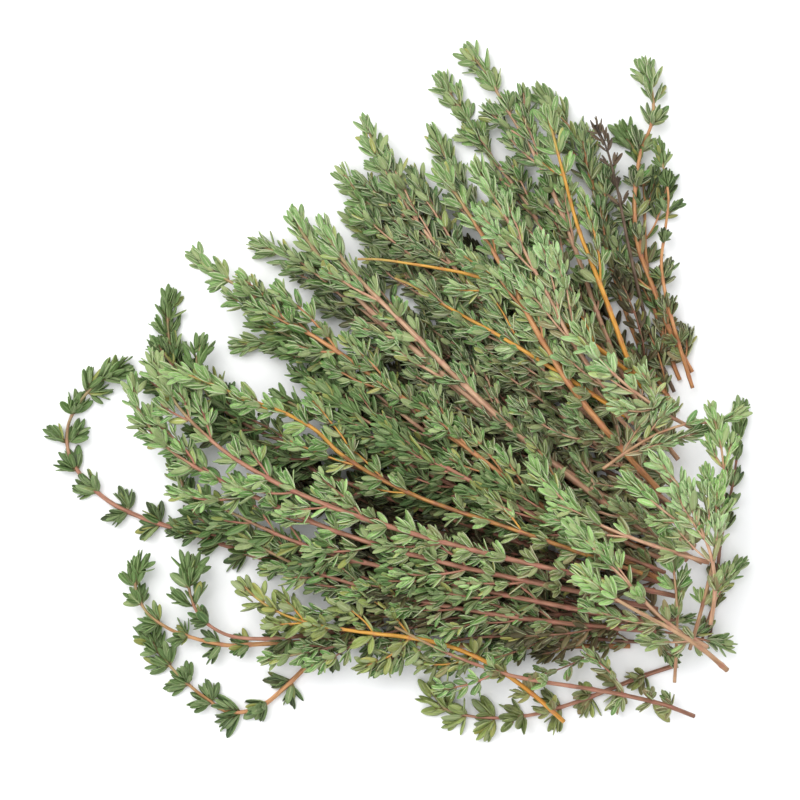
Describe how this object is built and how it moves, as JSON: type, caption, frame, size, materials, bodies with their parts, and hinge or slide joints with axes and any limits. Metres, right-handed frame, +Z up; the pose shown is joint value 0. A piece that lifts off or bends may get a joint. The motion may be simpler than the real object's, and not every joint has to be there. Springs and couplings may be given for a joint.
{
  "type": "bunch of thyme",
  "caption": "Loose, untied heap of fresh thyme sprigs fanned out from their cut ends, lying on a flat surface.",
  "frame": {"origin": "middle of the bunch's footprint, on the surface that it lies on", "axes": "+Z up, away from the surface; the cut ends gather towards +X, and the leafy tips fan out towards -X and +Y"},
  "size_m": [0.1752, 0.173, 0.029],
  "materials": {
    "leaf": "matte",
    "stem": "matte",
    "dry_growth": "matte"
  },
  "bodies": {
    "root": {"sprig_left_hook": "leaf", "sprig_lower_loop": "leaf", "sprig_lower_hook": "leaf", "sprig_lower_upright": "leaf", "sprig_left_upright": "leaf", "sprig_bottom_curved": "leaf", "sprig_bottom_left": "leaf", "sprig_bottom_middle": "leaf", "sprig_right_outer": "leaf", "sprig_right_tuft": "leaf", "sprig_right_low_tuft": "leaf", "sprig_under_1": "leaf", "sprig_under_2": "leaf", "sprig_under_3": "leaf", "sprig_under_4": "leaf", "sprig_under_5": "leaf", "sprig_under_6": "leaf", "sprig_left_inner": "leaf", "sprig_left_peak": "leaf", "sprig_upper_left_low": "leaf", "sprig_upper_left_inner": "leaf", "sprig_top_second": "leaf", "sprig_top_tuft": "leaf", "sprig_left_low": "leaf", "sprig_left_dark": "leaf", "sprig_upper_left_side": "leaf", "sprig_upper_left_high": "leaf", "sprig_top_outer": "leaf", "sprig_top_right": "leaf", "sprig_left_outer": "leaf", "sprig_left_edge": "leaf", "sprig_upper_left_outer": "leaf", "sprig_upper_left_peak": "leaf", "sprig_top_pale": "leaf", "sprig_top_thin": "leaf", "sprig_left_second": "leaf", "sprig_upper_left_dark": "leaf", "sprig_upper_left_rosette": "leaf", "sprig_top_left": "leaf", "twig_dry": "dry_growth", "sprig_left_golden": "leaf", "sprig_russet_first": "leaf", "sprig_russet_second": "leaf", "stem_golden_upper": "stem", "stem_golden_lower": "stem", "sprig_middle_diagonal": "leaf", "sprig_middle_upper": "leaf", "sprig_top_golden": "leaf", "sprig_middle_right": "leaf", "sprig_right_pale": "leaf", "sprig_right_inner": "leaf", "sprig_right_cut": "leaf", "sprig_middle_first": "leaf", "sprig_middle_second": "leaf", "sprig_middle_third": "leaf", "sprig_middle_fourth": "leaf", "sprig_stout_tan": "leaf", "sprig_bottom_pale": "leaf", "stem_bottom_bare": "stem", "leaf_loose": "leaf"}
  },
  "joints": []
}
